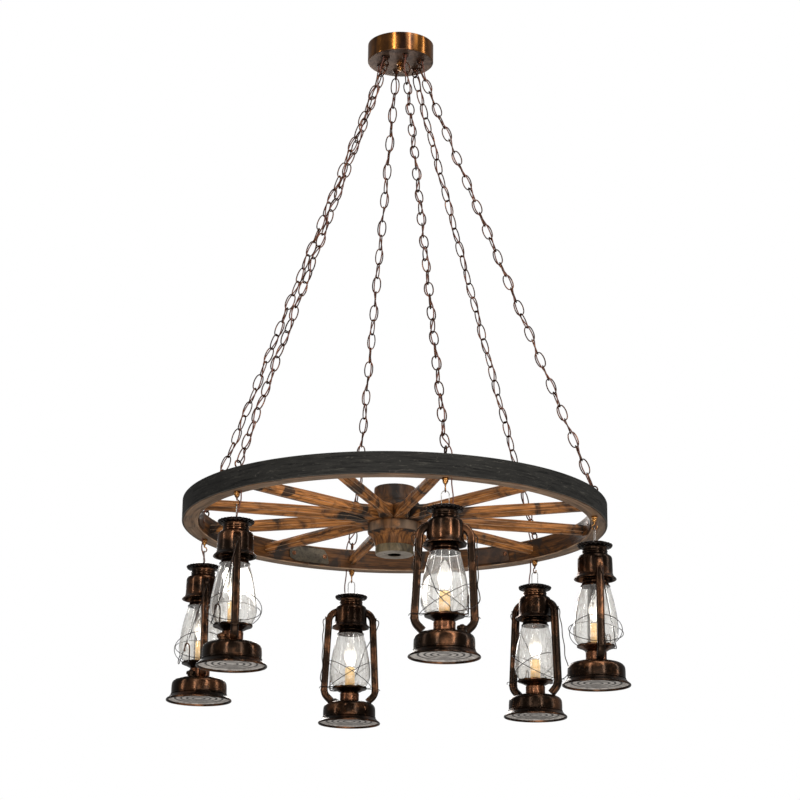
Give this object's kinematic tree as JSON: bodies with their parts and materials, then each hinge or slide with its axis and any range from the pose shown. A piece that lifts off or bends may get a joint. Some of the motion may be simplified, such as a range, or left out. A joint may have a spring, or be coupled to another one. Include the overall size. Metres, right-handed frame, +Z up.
{
  "type": "wagon wheel chandelier",
  "caption": "Spoked wooden wheel hung on chains below a round canopy, with a lit hurricane lantern swinging from a hook under every second spoke.",
  "frame": {"origin": "centre of the canopy's top, on the ceiling, between the two ceiling box screws", "axes": "+Z up to the ceiling; one lantern hangs in the -Y direction"},
  "size_m": [1.0669, 1.1894, 1.749],
  "materials": {
    "antique_copper": "polished antique copper",
    "zinc_steel": "zinc plated",
    "bronze_chain": "dark bronze",
    "lamp_cord": "matt brown insulation",
    "weathered_iron": "weathered charcoal",
    "weathered_wood": "weathered, oiled",
    "bulb_glass": "clear, lit",
    "globe_glass": "clear",
    "burner_bronze": "antique bronze, ivory candle sleeve",
    "bail_wire": "dark bronze",
    "lantern_bronze": "glossy antique bronze"
  },
  "bodies": {
    "root": {"canopy": "antique_copper", "ceiling_bar": "zinc_steel", "canopy_loops": "antique_copper", "canopy_finial": "antique_copper", "chain_1": "bronze_chain", "chain_2": "bronze_chain", "chain_3": "bronze_chain", "chain_4": "bronze_chain", "chain_5": "bronze_chain", "chain_6": "bronze_chain", "lamp_cords": "lamp_cord", "drop_cords": "lamp_cord", "tyre": "weathered_iron", "felloes": "weathered_wood", "spokes": "weathered_wood", "hub": "weathered_wood", "joint_plates": "weathered_iron", "rim_hooks": "antique_copper"},
    "lantern_1": {"lantern_1_frame": "lantern_bronze", "lantern_1_hood": "lantern_bronze", "lantern_1_burner": "burner_bronze", "lantern_1_bulb": "bulb_glass"},
    "globe_1": {"lantern_1_globe": "globe_glass", "lantern_1_carrier": "lantern_bronze"},
    "bail_1": {"lantern_1_bail": "bail_wire"},
    "lantern_2": {"lantern_2_frame": "lantern_bronze", "lantern_2_hood": "lantern_bronze", "lantern_2_burner": "burner_bronze", "lantern_2_bulb": "bulb_glass"},
    "globe_2": {"lantern_2_globe": "globe_glass", "lantern_2_carrier": "lantern_bronze"},
    "bail_2": {"lantern_2_bail": "bail_wire"},
    "lantern_3": {"lantern_3_frame": "lantern_bronze", "lantern_3_hood": "lantern_bronze", "lantern_3_burner": "burner_bronze", "lantern_3_bulb": "bulb_glass"},
    "globe_3": {"lantern_3_globe": "globe_glass", "lantern_3_carrier": "lantern_bronze"},
    "bail_3": {"lantern_3_bail": "bail_wire"},
    "lantern_4": {"lantern_4_frame": "lantern_bronze", "lantern_4_hood": "lantern_bronze", "lantern_4_burner": "burner_bronze", "lantern_4_bulb": "bulb_glass"},
    "globe_4": {"lantern_4_globe": "globe_glass", "lantern_4_carrier": "lantern_bronze"},
    "bail_4": {"lantern_4_bail": "bail_wire"},
    "lantern_5": {"lantern_5_frame": "lantern_bronze", "lantern_5_hood": "lantern_bronze", "lantern_5_burner": "burner_bronze", "lantern_5_bulb": "bulb_glass"},
    "globe_5": {"lantern_5_globe": "globe_glass", "lantern_5_carrier": "lantern_bronze"},
    "bail_5": {"lantern_5_bail": "bail_wire"},
    "lantern_6": {"lantern_6_frame": "lantern_bronze", "lantern_6_hood": "lantern_bronze", "lantern_6_burner": "burner_bronze", "lantern_6_bulb": "bulb_glass"},
    "globe_6": {"lantern_6_globe": "globe_glass", "lantern_6_carrier": "lantern_bronze"},
    "bail_6": {"lantern_6_bail": "bail_wire"}
  },
  "joints": [
    {"name": "lantern_1_swing", "type": "hinge", "parent": "root", "child": "lantern_1", "pos_m": [0, -0.5117, -1.363], "axis": [-0.1736, -0.9848, 0], "range_deg": [-20, 20], "deforming": ["drop_cords"]},
    {"name": "lantern_1_globe_lift", "type": "slide", "parent": "lantern_1", "child": "globe_1", "axis": [0, 0, 1], "range_m": [0, 0.012]},
    {"name": "lantern_1_bail_pivot", "type": "hinge", "parent": "lantern_1", "child": "bail_1", "pos_m": [0, -0.5117, -1.466], "axis": [-0.9848, 0.1736, 0], "range_deg": [0, 95]},
    {"name": "lantern_2_swing", "type": "hinge", "parent": "root", "child": "lantern_2", "pos_m": [0.44315, -0.25585, -1.363], "axis": [0.9903, -0.1392, 0], "range_deg": [-20, 20]},
    {"name": "lantern_2_globe_lift", "type": "slide", "parent": "lantern_2", "child": "globe_2", "axis": [0, 0, 1], "range_m": [0, 0.012]},
    {"name": "lantern_2_bail_pivot", "type": "hinge", "parent": "lantern_2", "child": "bail_2", "pos_m": [0.44315, -0.25585, -1.466], "axis": [-0.1392, -0.9903, 0], "range_deg": [0, 95]},
    {"name": "lantern_3_swing", "type": "hinge", "parent": "root", "child": "lantern_3", "pos_m": [0.44315, 0.25585, -1.363], "axis": [0.7431, 0.6691, 0], "range_deg": [-20, 20]},
    {"name": "lantern_3_globe_lift", "type": "slide", "parent": "lantern_3", "child": "globe_3", "axis": [0, 0, 1], "range_m": [0, 0.012]},
    {"name": "lantern_3_bail_pivot", "type": "hinge", "parent": "lantern_3", "child": "bail_3", "pos_m": [0.44315, 0.25585, -1.466], "axis": [0.6691, -0.7431, 0], "range_deg": [0, 95]},
    {"name": "lantern_4_swing", "type": "hinge", "parent": "root", "child": "lantern_4", "pos_m": [0, 0.5117, -1.363], "axis": [0.1392, 0.9903, 0], "range_deg": [-20, 20]},
    {"name": "lantern_4_globe_lift", "type": "slide", "parent": "lantern_4", "child": "globe_4", "axis": [0, 0, 1], "range_m": [0, 0.012]},
    {"name": "lantern_4_bail_pivot", "type": "hinge", "parent": "lantern_4", "child": "bail_4", "pos_m": [0, 0.5117, -1.466], "axis": [0.9903, -0.1392, 0], "range_deg": [0, 95]},
    {"name": "lantern_5_swing", "type": "hinge", "parent": "root", "child": "lantern_5", "pos_m": [-0.44315, 0.25585, -1.363], "axis": [-0.9998, 0.0175, 0], "range_deg": [-20, 20]},
    {"name": "lantern_5_globe_lift", "type": "slide", "parent": "lantern_5", "child": "globe_5", "axis": [0, 0, 1], "range_m": [0, 0.012]},
    {"name": "lantern_5_bail_pivot", "type": "hinge", "parent": "lantern_5", "child": "bail_5", "pos_m": [-0.44315, 0.25585, -1.466], "axis": [0.0175, 0.9998, 0], "range_deg": [0, 95]},
    {"name": "lantern_6_swing", "type": "hinge", "parent": "root", "child": "lantern_6", "pos_m": [-0.44315, -0.25585, -1.363], "axis": [-0.9962, 0.0872, 0], "range_deg": [-20, 20]},
    {"name": "lantern_6_globe_lift", "type": "slide", "parent": "lantern_6", "child": "globe_6", "axis": [0, 0, 1], "range_m": [0, 0.012]},
    {"name": "lantern_6_bail_pivot", "type": "hinge", "parent": "lantern_6", "child": "bail_6", "pos_m": [-0.44315, -0.25585, -1.466], "axis": [0.0872, 0.9962, 0], "range_deg": [0, 95]}
  ]
}
